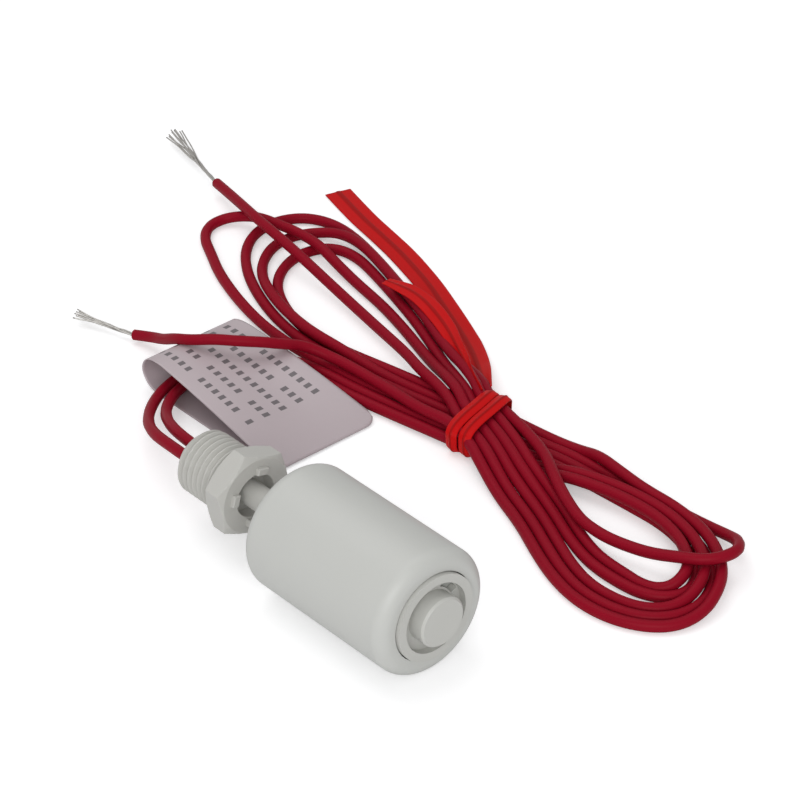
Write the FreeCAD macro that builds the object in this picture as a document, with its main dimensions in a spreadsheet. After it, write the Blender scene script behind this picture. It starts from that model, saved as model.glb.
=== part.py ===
import FreeCAD, Part
import Sketcher
import math
import os
import re

# Float level switch: a threaded, hexed stem with a reed switch inside, a hollow
# float that slides and turns on it, and two leads tied up in a hank.
# Sizes are in mm. The stem lies along X, its threaded end towards -X, and the
# float rests on the floor at Z = 0. The origin is under the middle of the switch.

DOC = FreeCAD.newDocument("FloatLevelSwitch")
SHEET = DOC.addObject("Spreadsheet::Sheet", "Sizes")
VECTOR = FreeCAD.Vector

SIZES = {
    # threaded end and hexagon of the stem
    "thread_diameter": 13.2,
    "thread_length": 11.3,
    "thread_lead_in": 0.8,
    "thread_tip_diameter": 12.0,
    "hex_across_flats": 15.875,
    "hex_length": 5.0,
    "hex_bevel_diameter": 15.2,
    "hex_bevel_reach": 2.0,
    "hex_bevel_angle": 30.0,
    "hex_clocking": 40.0,
    "core_pocket_diameter": 8.8,
    "core_pocket_depth": 3.0,
    "lug_count": 4,
    "lug_width": 2.4,
    "lug_height": 0.9,
    "lug_inner_radius": 4.6,
    "lug_outer_radius": 6.0,
    "lug_clocking": 75.0,
    # stem tube and its bores
    "stem_diameter": 5.0,
    "well_diameter": 8.0,
    "well_depth": 11.5,
    "reed_bore_diameter": 3.0,
    "reed_bore_depth": 46.0,
    # float
    "float_diameter": 25.4,
    "float_length": 38.1,
    "float_edge_radius": 2.5,
    "float_wall": 1.5,
    "float_front_wall": 1.6,
    "float_lip_depth": 3.0,
    "float_bore_diameter": 6.2,
    "float_tube_wall": 1.2,
    "stop_side_play": 0.2,
    "float_recess_depth": 2.3,
    "float_travel": 9.7,
    "float_top_gap": 0.3,
    "float_end_play": 0.1,
    "end_cap_rim": 2.72,
    "end_cap_thickness": 2.0,
    "weld_gap": 0.02,
    # ring magnet and what holds it
    "magnet_station": 6.0,
    "magnet_length": 6.0,
    "magnet_diameter": 16.0,
    "magnet_play": 0.1,
    "holder_diameter": 11.4,
    "holder_collar": 1.2,
    # end stop
    "stop_diameter": 17.5,
    "stop_thickness": 3.0,
    "stop_proud": 0.8,
    "stop_rim_width": 1.7,
    "stop_dish_depth": 1.6,
    "stop_boss_diameter": 10.0,
    "stop_boss_proud": 1.9,
    "stop_boss_bevel": 0.4,
    "stop_bore_depth": 3.5,
    "slot_inner_radius": 5.4,
    "slot_outer_radius": 6.8,
    "slot_start": 25.0,
    "slot_sweep": 40.0,
    # reed capsule
    "reed_station": 23.0,
    "reed_length": 14.0,
    "reed_diameter": 2.0,
    "reed_glass_wall": 0.3,
    "reed_seal_length": 1.6,
    "reed_taper": 0.5,
    "reed_drop": 0.4,
    "blade_wire_diameter": 0.5,
    "blade_wire_length": 4.0,
    "blade_thickness": 0.2,
    "blade_width": 1.1,
    "blade_overlap": 0.8,
    "contact_gap": 0.1,
    # wiring inside the stem
    "conductor_diameter": 0.76,
    "return_wire_diameter": 0.4,
    "return_sleeve_diameter": 0.6,
    "return_rise": 0.95,
    "splice_length": 2.2,
    "splice_diameter": 1.04,
    "return_splice_station": 12.6,
    "sleeve_station": 15.4,
    "sleeve_length": 25.0,
    "potting_recess": 0.8,
    # leads
    "lead_diameter": 2.3,
    "lead_spacing": 3.4,
    "root_length": 6.2,
    "strand_root_diameter": 0.9,
    "strand_end_diameter": 3.2,
    "strand_length_a": 25.0,
    "strand_length_b": 14.5,
    # tied hank of the leads
    "hank_lift": 0.65,
    "hank_height": 4.6,
    # twist tie
    "tie_width": 4.6,
    "tie_thickness": 0.5,
    "tie_clearance": 0.05,
    "tie_strip_width": 4.6,
    # label
    "label_width": 27.0,
    "label_near_edge": 18.6,
    "label_thickness": 0.2,
    "label_corner_radius": 3.5,
}

# sizes that follow from the ones above
DERIVED = {
    "axis_height": "float_diameter / 2",
    "hex_radius": "hex_across_flats / sqrt(3)",
    "hex_face": "thread_length + hex_length",
    "bevel_run": "hex_bevel_reach * tan(hex_bevel_angle)",
    "tube_diameter": "float_bore_diameter + 2 * float_tube_wall",
    "magnet_bore": "tube_diameter + 2 * magnet_play",
    "switch_length": "hex_face + lug_height + float_top_gap + float_travel + float_length"
                     " + stop_proud + stop_boss_proud",
    "tip_x": "-switch_length / 2",
    "rear_x": "tip_x + hex_face + lug_height + float_top_gap + float_travel",
    "stop_x": "rear_x + float_length + stop_proud - stop_thickness",
    "stem_length": "stop_x + stop_bore_depth - tip_x",
    "reed_x": "tip_x + reed_station",
    "reed_z": "axis_height - reed_drop",
    "return_z": "axis_height + return_rise",
    "cap_radius": "float_diameter / 2 - end_cap_rim",
    "recess_radius": "stop_diameter / 2 + stop_side_play",
}

KNOWN = set(SIZES) | set(DERIVED)


def cells(text):
    # an expression with every size named as a cell of the sheet
    return re.sub(r"[a-z_]+", lambda m: "Sizes." + m.group() if m.group() in KNOWN else m.group(), text)


for row, (name, value) in enumerate(SIZES.items(), start=1):
    SHEET.set("A%d" % row, name)
    SHEET.set("B%d" % row, str(value))
    SHEET.setAlias("B%d" % row, name)
for row, (name, text) in enumerate(DERIVED.items(), start=len(SIZES) + 2):
    SHEET.set("A%d" % row, name)
    SHEET.set("B%d" % row, "=" + text)
    SHEET.setAlias("B%d" % row, name)
DOC.recompute()

PARTS = []


def size(name):
    return float(getattr(SHEET, name))


def place(obj, x, z):
    obj.setExpression("Placement.Base.x", cells(x))
    obj.setExpression("Placement.Base.z", cells(z))


def new_body(label, x, z="axis_height"):
    body = DOC.addObject("PartDesign::Body", label)
    body.Label = label
    place(body, x, z)
    PARTS.append(body)
    return body


def new_feature(label, shape):
    feature = DOC.addObject("Part::Feature", label)
    feature.Label = label
    feature.Shape = shape
    feature.Placement = FreeCAD.Placement()
    PARTS.append(feature)
    return feature


def empty_sketch(body, name, role, offset=""):
    sketch = body.newObject("Sketcher::SketchObject", name)
    plane = [f for f in body.Origin.OriginFeatures if f.Role == role][0]
    sketch.AttachmentSupport = [(plane, "")]
    sketch.MapMode = "FlatFace"
    if offset:
        sketch.setExpression("AttachmentOffset.Base.z", cells(offset))
    return sketch


def bind(sketch, constraint, text):
    index = sketch.addConstraint(constraint)
    sketch.setExpression("Constraints[%d]" % index, cells(text))


def value_of(sketch, text):
    return float(sketch.evalExpression(cells(text)))


def outline(body, name, corners, role="XZ_Plane", offset=""):
    # closed outline of straight lines, each corner tied to the sheet
    sketch = empty_sketch(body, name, role, offset)
    spots = [(value_of(sketch, a), value_of(sketch, b)) for a, b in corners]
    count = len(spots)
    for i in range(count):
        ahead = spots[(i + 1) % count]
        sketch.addGeometry(Part.LineSegment(VECTOR(*spots[i], 0), VECTOR(*ahead, 0)), False)
    for i in range(count):
        sketch.addConstraint(Sketcher.Constraint("Coincident", i, 2, (i + 1) % count, 1))
    for i, pair in enumerate(corners):
        for axis, kind, text, value in ((-2, "DistanceX", pair[0], spots[i][0]),
                                        (-1, "DistanceY", pair[1], spots[i][1])):
            if text == "0":
                sketch.addConstraint(Sketcher.Constraint("PointOnObject", i, 1, axis))
            else:
                bind(sketch, Sketcher.Constraint(kind, -1, 1, i, 1, value), text)
    return sketch


def turned(body, name, corners):
    # solid of revolution about the stem's line, from stations and radii
    sketch = outline(body, name + "Outline", corners)
    feature = body.newObject("PartDesign::Revolution", name)
    feature.Profile = sketch
    feature.ReferenceAxis = (sketch, ["H_Axis"])
    feature.Angle = 360.0
    body.Tip = feature
    return feature


def checked_cut(body, feature, name, before):
    body.Tip = feature
    DOC.recompute()
    if body.Shape.Volume >= before - 1e-6:
        raise ValueError(name + " takes nothing away")
    return feature


def grooved(body, name, corners):
    DOC.recompute()
    before = body.Shape.Volume
    sketch = outline(body, name + "Outline", corners)
    feature = body.newObject("PartDesign::Groove", name)
    feature.Profile = sketch
    feature.ReferenceAxis = (sketch, ["H_Axis"])
    feature.Angle = 360.0
    return checked_cut(body, feature, name, before)


def padded(body, name, sketch, length):
    feature = body.newObject("PartDesign::Pad", name)
    feature.Profile = sketch
    feature.setExpression("Length", cells(length))
    body.Tip = feature
    return feature


def rounded_edges(body, name, base, rings, radius):
    # rounds the circular edges of the given stations and radii
    DOC.recompute()
    found = []
    for i, edge in enumerate(base.Shape.Edges, start=1):
        if isinstance(edge.Curve, Part.Circle):
            for station, ring in rings:
                if abs(edge.Curve.Center.x - station) < 1e-4 and abs(edge.Curve.Radius - ring) < 1e-4:
                    found.append("Edge%d" % i)
    feature = body.newObject("PartDesign::Fillet", name)
    feature.Base = (base, found)
    feature.setExpression("Radius", cells(radius))
    body.Tip = feature
    return feature


# ------------------------------------------------------------------ stem
stem = new_body("stem_body", "tip_x")
turned(stem, "StemTurned", [
    ("0", "0"),
    ("0", "thread_tip_diameter / 2"),
    ("thread_lead_in", "thread_diameter / 2"),
    ("thread_length", "thread_diameter / 2"),
    ("thread_length", "stem_diameter / 2"),
    ("stem_length", "stem_diameter / 2"),
    ("stem_length", "0"),
])
hexCorners = [("hex_radius * cos(hex_clocking + %d)" % a, "hex_radius * sin(hex_clocking + %d)" % a)
              for a in range(0, 360, 60)]
padded(stem, "Hexagon", outline(stem, "HexOutline", hexCorners, "YZ_Plane", "thread_length"), "hex_length")
grooved(stem, "BevelAtFloat", [
    ("hex_face", "hex_bevel_diameter / 2"),
    ("hex_face", "hex_bevel_diameter / 2 + hex_bevel_reach"),
    ("hex_face - bevel_run", "hex_bevel_diameter / 2 + hex_bevel_reach"),
])
grooved(stem, "BevelAtThread", [
    ("thread_length", "hex_bevel_diameter / 2"),
    ("thread_length", "hex_bevel_diameter / 2 + hex_bevel_reach"),
    ("thread_length + bevel_run", "hex_bevel_diameter / 2 + hex_bevel_reach"),
])
grooved(stem, "CorePocket", [
    ("hex_face", "stem_diameter / 2"),
    ("hex_face", "core_pocket_diameter / 2"),
    ("hex_face - core_pocket_depth", "core_pocket_diameter / 2"),
    ("hex_face - core_pocket_depth", "stem_diameter / 2"),
])
lugTurn = "cos(lug_clocking)", "sin(lug_clocking)"
lugCorners = []
for reach, side in (("lug_inner_radius", "-"), ("lug_outer_radius", "-"),
                    ("lug_outer_radius", "+"), ("lug_inner_radius", "+")):
    other = "+" if side == "-" else "-"
    lugCorners.append(("%s * %s %s lug_width / 2 * %s" % (reach, lugTurn[0], other, lugTurn[1]),
                       "%s * %s %s lug_width / 2 * %s" % (reach, lugTurn[1], side, lugTurn[0])))
lug = padded(stem, "Lug", outline(stem, "LugOutline", lugCorners, "YZ_Plane", "hex_face"), "lug_height")
lugs = stem.newObject("PartDesign::PolarPattern", "Lugs")
lugs.Originals = [lug]
lugs.Axis = (lug.Profile[0], ["N_Axis"])
lugs.Angle = 360.0
lugs.setExpression("Occurrences", cells("lug_count"))
stem.Tip = lugs
grooved(stem, "Bores", [
    ("0", "0"),
    ("0", "well_diameter / 2"),
    ("well_depth", "well_diameter / 2"),
    ("well_depth", "reed_bore_diameter / 2"),
    ("reed_bore_depth", "reed_bore_diameter / 2"),
    ("reed_bore_depth", "0"),
])

# ------------------------------------------------------------------ end stop
stop = new_body("stop_cap", "stop_x")
turned(stop, "StopTurned", [
    ("0", "stem_diameter / 2"),
    ("0", "stop_diameter / 2"),
    ("stop_thickness", "stop_diameter / 2"),
    ("stop_thickness", "stop_diameter / 2 - stop_rim_width"),
    ("stop_thickness - stop_dish_depth", "stop_diameter / 2 - stop_rim_width"),
    ("stop_thickness - stop_dish_depth", "stop_boss_diameter / 2"),
    ("stop_thickness + stop_boss_proud - stop_boss_bevel", "stop_boss_diameter / 2"),
    ("stop_thickness + stop_boss_proud", "stop_boss_diameter / 2 - stop_boss_bevel"),
    ("stop_thickness + stop_boss_proud", "0"),
    ("stop_bore_depth", "0"),
    ("stop_bore_depth", "stem_diameter / 2"),
])
DOC.recompute()
uncut = stop.Shape.Volume
slotSketch = empty_sketch(stop, "SlotOutline", "YZ_Plane")
slotEnds = [math.radians(size("slot_start")), math.radians(size("slot_start") + size("slot_sweep"))]
for reach in ("slot_inner_radius", "slot_outer_radius"):
    circle = Part.Circle(VECTOR(), VECTOR(0, 0, 1), size(reach))
    slotSketch.addGeometry(Part.ArcOfCircle(circle, *slotEnds), False)
for angle in slotEnds:
    near, far = [VECTOR(size(r) * math.cos(angle), size(r) * math.sin(angle), 0)
                 for r in ("slot_inner_radius", "slot_outer_radius")]
    slotSketch.addGeometry(Part.LineSegment(near, far), False)
for arc in (0, 1):
    slotSketch.addConstraint(Sketcher.Constraint("Coincident", arc, 3, -1, 1))
    for line, end in ((2, 1), (3, 2)):
        slotSketch.addConstraint(Sketcher.Constraint("Coincident", line, arc + 1, arc, end))
bind(slotSketch, Sketcher.Constraint("Radius", 0, size("slot_inner_radius")), "slot_inner_radius")
bind(slotSketch, Sketcher.Constraint("Radius", 1, size("slot_outer_radius")), "slot_outer_radius")
for line, text in ((2, "slot_start"), (3, "slot_start + slot_sweep")):
    slotSketch.addConstraint(Sketcher.Constraint("PointOnObject", -1, 1, line))
    bind(slotSketch, Sketcher.Constraint("Angle", line, math.radians(value_of(slotSketch, text))), text)
slot = stop.newObject("PartDesign::Pocket", "DrainSlot")
slot.Profile = slotSketch
slot.Type = "ThroughAll"
slot.Midplane = True
checked_cut(stop, slot, "DrainSlot", uncut)

# ------------------------------------------------------------------ float
shell = new_body("float_shell", "rear_x")
shellTurned = turned(shell, "ShellTurned", [
    ("0", "cap_radius + weld_gap"),
    ("0", "float_diameter / 2"),
    ("float_length", "float_diameter / 2"),
    ("float_length", "recess_radius"),
    ("float_length - float_recess_depth", "recess_radius"),
    ("float_length - float_recess_depth", "float_bore_diameter / 2"),
    ("end_cap_thickness + weld_gap", "float_bore_diameter / 2"),
    ("end_cap_thickness + weld_gap", "tube_diameter / 2"),
    ("magnet_station + magnet_length + magnet_play", "tube_diameter / 2"),
    ("magnet_station + magnet_length + magnet_play", "holder_diameter / 2"),
    ("magnet_station + magnet_length + magnet_play + holder_collar", "holder_diameter / 2"),
    ("magnet_station + magnet_length + magnet_play + holder_collar", "tube_diameter / 2"),
    ("float_length - float_recess_depth - float_front_wall", "tube_diameter / 2"),
    ("float_length - float_recess_depth - float_front_wall", "float_diameter / 2 - float_wall"),
    ("float_lip_depth", "float_diameter / 2 - float_wall"),
    ("float_lip_depth", "cap_radius + weld_gap"),
])
floatRadius = size("float_diameter") / 2
rounded_edges(shell, "ShellEdges", shellTurned,
              [(0.0, floatRadius), (size("float_length"), floatRadius)], "float_edge_radius")

endCap = new_body("float_end_cap", "rear_x")
turned(endCap, "EndCapTurned", [
    ("0", "float_bore_diameter / 2"),
    ("0", "cap_radius"),
    ("end_cap_thickness", "cap_radius"),
    ("end_cap_thickness", "holder_diameter / 2"),
    ("magnet_station - magnet_play", "holder_diameter / 2"),
    ("magnet_station - magnet_play", "tube_diameter / 2 + weld_gap"),
    ("end_cap_thickness", "tube_diameter / 2 + weld_gap"),
    ("end_cap_thickness", "float_bore_diameter / 2"),
])

magnet = new_body("ring_magnet", "rear_x + magnet_station")
turned(magnet, "MagnetTurned", [
    ("0", "magnet_bore / 2"),
    ("0", "magnet_diameter / 2"),
    ("magnet_length", "magnet_diameter / 2"),
    ("magnet_length", "magnet_bore / 2"),
])

# ------------------------------------------------------------------ reed switch
glass = new_body("reed_glass", "reed_x", "reed_z")
turned(glass, "GlassTurned", [
    ("0", "blade_wire_diameter / 2"),
    ("0", "reed_diameter / 2 - reed_taper"),
    ("reed_taper", "reed_diameter / 2"),
    ("reed_length - reed_taper", "reed_diameter / 2"),
    ("reed_length", "reed_diameter / 2 - reed_taper"),
    ("reed_length", "blade_wire_diameter / 2"),
    ("reed_length - reed_seal_length", "blade_wire_diameter / 2"),
    ("reed_length - reed_seal_length", "reed_diameter / 2 - reed_glass_wall"),
    ("reed_seal_length", "reed_diameter / 2 - reed_glass_wall"),
    ("reed_seal_length", "blade_wire_diameter / 2"),
])


def blade(label, wire_start, wire_end, flat_start, low, high):
    # round lead-out wire carrying a flattened contact blade
    body = new_body(label, "reed_x", "reed_z")
    turned(body, label + "Wire", [
        (wire_start, "0"),
        (wire_start, "blade_wire_diameter / 2"),
        (wire_end, "blade_wire_diameter / 2"),
        (wire_end, "0"),
    ])
    flat = outline(body, label + "Flat", [
        ("-blade_width / 2", low),
        ("blade_width / 2", low),
        ("blade_width / 2", high),
        ("-blade_width / 2", high),
    ], "YZ_Plane", flat_start)
    padded(body, label + "Blade", flat, "reed_length / 2 + blade_overlap / 2 - reed_seal_length")


blade("reed_blade_near", "-blade_wire_length", "reed_seal_length + 0.4", "reed_seal_length",
      "contact_gap / 2", "contact_gap / 2 + blade_thickness")
blade("reed_blade_far", "reed_length - reed_seal_length - 0.4", "reed_length + blade_wire_length",
      "reed_length / 2 - blade_overlap / 2", "-contact_gap / 2 - blade_thickness", "-contact_gap / 2")


def splice(label, x, z, left, right):
    # sleeve crimped over two wire ends that meet in its middle
    body = new_body(label, x, z)
    turned(body, label + "Turned", [
        ("0", left + " / 2"),
        ("0", "splice_diameter / 2"),
        ("splice_length", "splice_diameter / 2"),
        ("splice_length", right + " / 2"),
        ("splice_length / 2", right + " / 2"),
        ("splice_length / 2", left + " / 2"),
    ])


splice("splice_near", "reed_x - blade_wire_length - splice_length / 2", "reed_z",
       "conductor_diameter", "blade_wire_diameter")
splice("splice_far", "reed_x + reed_length + blade_wire_length - splice_length / 2", "reed_z",
       "blade_wire_diameter", "return_wire_diameter")
splice("splice_return", "tip_x + return_splice_station", "return_z",
       "conductor_diameter", "return_wire_diameter")

sleeve = new_body("return_sleeve", "tip_x + sleeve_station", "return_z")
turned(sleeve, "SleeveTurned", [
    ("0", "return_wire_diameter / 2"),
    ("0", "return_sleeve_diameter / 2"),
    ("sleeve_length", "return_sleeve_diameter / 2"),
    ("sleeve_length", "return_wire_diameter / 2"),
])
DOC.recompute()


# ------------------------------------------------------------------ wires
def rounded_path(points, name=""):
    # straight runs joined by tangent arcs; each arc takes 0.45 of the shorter run
    spots = [VECTOR(*p) for p in points]
    edges = []
    start = spots[0]
    radii = []
    for before, corner, after in zip(spots, spots[1:], spots[2:]):
        into = (corner - before).normalize()
        out = (after - corner).normalize()
        turn = into.getAngle(out)
        setback = 0.45 * min((corner - before).Length, (after - corner).Length)
        radius = setback / math.tan(turn / 2)
        radii.append(radius)
        inward = (out - into).normalize()
        middle = corner + inward * (radius / math.cos(turn / 2) - radius)
        first = corner - into * setback
        last = corner + out * setback
        edges.append(Part.LineSegment(start, first).toShape())
        edges.append(Part.Arc(first, middle, last).toShape())
        start = last
    edges.append(Part.LineSegment(start, spots[-1]).toShape())
    if name:
        print(name, "bend radii", " ".join("%.1f" % r for r in radii))
    return Part.Wire(edges)


def swept(path, profile, binormal=None):
    shell_maker = Part.BRepOffsetAPI.MakePipeShell(path)
    if binormal is not None:
        shell_maker.setBiNormalMode(binormal)
    shell_maker.add(profile)
    shell_maker.build()
    shell_maker.makeSolid()
    return shell_maker.shape()


def round_wire(points, diameter, name):
    path = rounded_path(points, name)
    along = VECTOR(*points[1]) - VECTOR(*points[0])
    profile = Part.Wire([Part.Circle(VECTOR(*points[0]), along, diameter / 2).toShape()])
    solid = swept(path, profile)
    expected = math.pi * diameter ** 2 / 4 * path.Length
    print(name, "length %.1f" % path.Length, "volume ratio %.4f" % (solid.Volume / expected))
    if abs(solid.Volume / expected - 1) > 0.01:
        raise ValueError(name + " is not swept cleanly")
    return solid


AXIS = size("axis_height")
TIP = size("tip_x")
WIRE = size("lead_diameter")
HALF = size("lead_spacing") / 2
faceX = TIP + size("potting_recess")
rootX = faceX + size("root_length")
wellX = TIP + size("well_depth")

# the return wire runs back over the reed and turns down into its far splice
returnStart = TIP + size("return_splice_station") + size("splice_length") / 2
bendX = size("reed_x") + size("reed_length") + size("blade_wire_length") + size("splice_length") / 2 + 0.2
upper = size("return_z")
lower = size("reed_z")
turnRadius = (upper - lower) / 2
returnPath = Part.Wire([
    Part.LineSegment(VECTOR(returnStart, 0, upper), VECTOR(bendX, 0, upper)).toShape(),
    Part.Arc(VECTOR(bendX, 0, upper), VECTOR(bendX + turnRadius, 0, (upper + lower) / 2),
             VECTOR(bendX, 0, lower)).toShape(),
    Part.LineSegment(VECTOR(bendX, 0, lower),
                     VECTOR(bendX - 0.2 - size("splice_length") / 2, 0, lower)).toShape(),
])
returnRing = Part.Circle(VECTOR(returnStart, 0, upper), VECTOR(1, 0, 0), size("return_wire_diameter") / 2)
new_feature("return_wire", swept(returnPath, Part.Wire([returnRing.toShape()])))


def lead_root(name, side, height, end_x):
    # insulated end of a lead in the potting, its bare conductor going on to a splice
    insulation = Part.makeCylinder(WIRE / 2, size("root_length"), VECTOR(faceX, side, AXIS), VECTOR(1, 0, 0))
    core = round_wire([
        (rootX - 0.5, side, AXIS),
        (rootX + 1.0, side, AXIS),
        (wellX - 0.5, 0, height),
        (wellX + 1.0, 0, height),
    ] if end_x is None else [
        (rootX - 0.5, side, AXIS),
        (rootX + 1.0, side, AXIS),
        (wellX - 0.5, 0, height),
        (end_x, 0, height),
    ], size("conductor_diameter"), name)
    return insulation.fuse(core).removeSplitter()


rootA = lead_root("lead_a_root", HALF, lower, size("reed_x") - size("blade_wire_length"))
rootB = lead_root("lead_b_root", -HALF, upper, returnStart)
new_feature("lead_a_root", rootA)
new_feature("lead_b_root", rootB)

plug = Part.makeCylinder(size("well_diameter") / 2, wellX - faceX, VECTOR(faceX, 0, AXIS), VECTOR(1, 0, 0))
new_feature("potting", plug.cut(rootA).cut(rootB))

# ------------------------------------------------------------------ leads
leadA = round_wire([
    (faceX, HALF, AXIS),
    (TIP - 6.0, HALF, AXIS),
    (TIP - 17.5, 5.6, 9.4),
    (-61.5, 12.8, 4.8),
    (-68.4, 21.5, 2.1),
    (-70.1, 31.0, 1.6),
    (-65.3, 39.8, 1.6),
    (-57.5, 45.4, 1.8),
    (-50.5, 49.2, 2.0),
], WIRE, "lead_a")
leadB = round_wire([
    (faceX, -HALF, AXIS),
    (TIP - 6.0, -HALF, AXIS),
    (TIP - 18.0, 1.4, 9.4),
    (-63.0, 9.8, 4.8),
    (-70.9, 20.2, 2.1),
    (-73.1, 31.5, 1.6),
    (-68.6, 41.4, 1.6),
    (-62.3, 46.6, 1.8),
    (-56.5, 49.9, 2.0),
], WIRE, "lead_b")
tailA = round_wire([
    (-107.0, 71.5, 3.4),
    (-117.0, 74.9, 3.4),
    (-125.8, 77.9, 3.0),
], WIRE, "tail_a")
tailB = round_wire([
    (-53.5, 52.4, 3.4),
    (-58.6, 48.4, 6.6),
    (-62.5, 41.0, 8.7),
    (-67.5, 33.5, 10.0),
    (-73.5, 28.6, 10.7),
    (-79.5, 27.4, 7.4),
    (-84.5, 27.6, 3.8),
    (-90.5, 27.5, 1.6),
], WIRE, "tail_b")

# outer shape of the hank, seen from above
hankEdge = [
    (55.0, 46.0), (51.5, 56.5), (43.5, 66.0), (31.0, 70.6), (14.0, 69.6), (-4.0, 68.0),
    (-24.0, 67.4), (-45.0, 74.6), (-66.0, 81.0), (-82.0, 86.0), (-96.0, 88.2), (-108.0, 84.6),
    (-115.0, 77.4), (-115.6, 68.8), (-108.0, 60.2), (-96.0, 54.8), (-80.0, 49.9), (-62.0, 48.2),
    (-45.0, 47.4), (-30.0, 48.6), (-15.0, 49.0), (-1.0, 46.4), (10.0, 41.6), (22.0, 36.4),
    (36.0, 34.0), (48.5, 37.4),
]
edgeCurve = Part.BSplineCurve()
edgeCurve.interpolate(Points=[VECTOR(x, y, size("hank_lift")) for x, y in hankEdge], PeriodicFlag=True)
hankFace = Part.Face(Part.Wire([edgeCurve.toShape()]))
hank = hankFace.extrude(VECTOR(0, 0, size("hank_height")))

# ------------------------------------------------------------------ twist tie
tieFar = VECTOR(-25.6, 67.2, 0)
tieNear = VECTOR(-14.6, 49.2, 0)
across = (tieNear - tieFar).normalize()
square = VECTOR(0, 0, 1).cross(across)
thick = size("tie_thickness")
top = size("hank_lift") + size("hank_height") + size("tie_clearance") + thick


def tie_block(spare, name_width):
    # upright slab across the waist, with rounded ends, grown by the spare all round
    reach = (tieNear - tieFar).Length / 2 + spare
    middle = (tieNear + tieFar) * 0.5
    low = thick - spare
    high = top - thick + spare
    corner = min((high - low) / 2 - 0.05, 1.6 + spare)
    ring = []
    for side, level in ((-1, low), (1, low), (1, high), (-1, high)):
        ring.append(middle + across * (side * reach) + VECTOR(0, 0, level))
    face = Part.Face(Part.makePolygon(ring + [ring[0]]))
    slab = face.extrude(square * name_width)
    slab.translate(square * (-name_width / 2))
    upright = [e for e in slab.Edges if abs(e.tangentAt(e.FirstParameter).dot(square)) > 0.999]
    return slab.makeFillet(corner, upright)


bandWidth = size("tie_width")
gap = size("tie_clearance")
band = tie_block(thick, bandWidth).cut(tie_block(0.0, bandWidth + 2))
keepOut = tie_block(thick + gap, bandWidth + 2 * gap).cut(tie_block(-gap, bandWidth + 2))

stripPath = rounded_path([
    (-24.0, 64.2, thick / 2),
    (-29.5, 70.4, thick / 2),
    (-36.5, 74.8, thick / 2),
    (-46.0, 78.4, thick / 2),
    (-62.0, 83.6, thick / 2),
    (-84.7, 91.3, thick / 2),
    (-97.0, 95.4, thick / 2),
    (-109.3, 99.6, thick / 2),
])
stripWay = (VECTOR(-29.5, 70.4, 0) - VECTOR(-24.0, 64.2, 0)).normalize()
stripSide = VECTOR(0, 0, 1).cross(stripWay) * (size("tie_strip_width") / 2)
stripRoot = VECTOR(-24.0, 64.2, thick / 2)
rise = VECTOR(0, 0, thick / 2)
stripRing = Part.makePolygon([stripRoot + stripSide - rise, stripRoot + stripSide + rise,
                              stripRoot - stripSide + rise, stripRoot - stripSide - rise,
                              stripRoot + stripSide - rise])
strip = swept(stripPath, stripRing, VECTOR(0, 0, 1))
twistTie = band.fuse(strip).removeSplitter()

for piece in (keepOut, leadA, leadB, tailA, tailB):
    hank = hank.cut(piece)

# ------------------------------------------------------------------ bare strands and label
strandRoot = size("strand_root_diameter") / 2
strandEnd = size("strand_end_diameter") / 2
strandsA = Part.makeCone(strandRoot, strandEnd, size("strand_length_a"), VECTOR(-125.8, 77.9, 3.0),
                         VECTOR(-27.2, 8.0, -1.2))
strandsB = Part.makeCone(strandRoot, strandEnd, size("strand_length_b"), VECTOR(-90.5, 27.5, 1.6),
                         VECTOR(-12.4, -6.4, 0.4))

labelLow = size("label_near_edge")
labelWide = size("label_width")
skin = size("label_thickness")
labelStart = (-33.6, labelLow, skin / 2 + 0.02)
labelPath = rounded_path([
    labelStart,
    (-74.4, labelLow, skin / 2 + 0.02),
    (-77.4, labelLow, 4.4),
    (-74.2, labelLow, 8.4),
    (-35.4, labelLow, 0.8),
])
labelRing = Part.makePolygon([
    VECTOR(labelStart[0], labelLow, 0.02),
    VECTOR(labelStart[0], labelLow + labelWide, 0.02),
    VECTOR(labelStart[0], labelLow + labelWide, 0.02 + skin),
    VECTOR(labelStart[0], labelLow, 0.02 + skin),
    VECTOR(labelStart[0], labelLow, 0.02),
])
label = swept(labelPath, labelRing, VECTOR(0, 1, 0))
corner = size("label_corner_radius")
farEdge = labelLow + labelWide
trim = Part.makeBox(corner + 1, corner + 1, 10, VECTOR(labelStart[0] - corner, farEdge - corner, -1))
trim = trim.cut(Part.makeCylinder(corner, 12, VECTOR(labelStart[0] - corner, farEdge - corner, -2)))
label = label.cut(trim)

for name, shape in (("lead_a", leadA), ("lead_b", leadB), ("lead_hank", hank), ("tail_a", tailA),
                    ("tail_b", tailB), ("strands_a", strandsA), ("strands_b", strandsB),
                    ("twist_tie", twistTie), ("label_flag", label)):
    new_feature(name, shape)

DOC.recompute()
for obj in DOC.Objects:
    if "Invalid" in obj.State or "Error" in obj.State:
        raise ValueError(obj.Name + " did not compute")
os.makedirs("parts", exist_ok=True)
for obj in PARTS:
    shape = obj.Shape
    if shape.isNull() or not shape.isValid() or len(shape.Solids) != 1:
        raise ValueError("%s is not one sound solid (%d)" % (obj.Label, len(shape.Solids)))
    box = shape.BoundBox
    print("%-16s vol %9.2f  x %7.2f %7.2f  y %6.2f %6.2f  z %6.2f %6.2f" % (
        obj.Label, shape.Volume, box.XMin, box.XMax, box.YMin, box.YMax, box.ZMin, box.ZMax))
    shape.exportStep("parts/%s.step" % obj.Label)
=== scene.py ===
import bpy
import math
import numpy as np
from mathutils import Matrix, Vector


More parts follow.
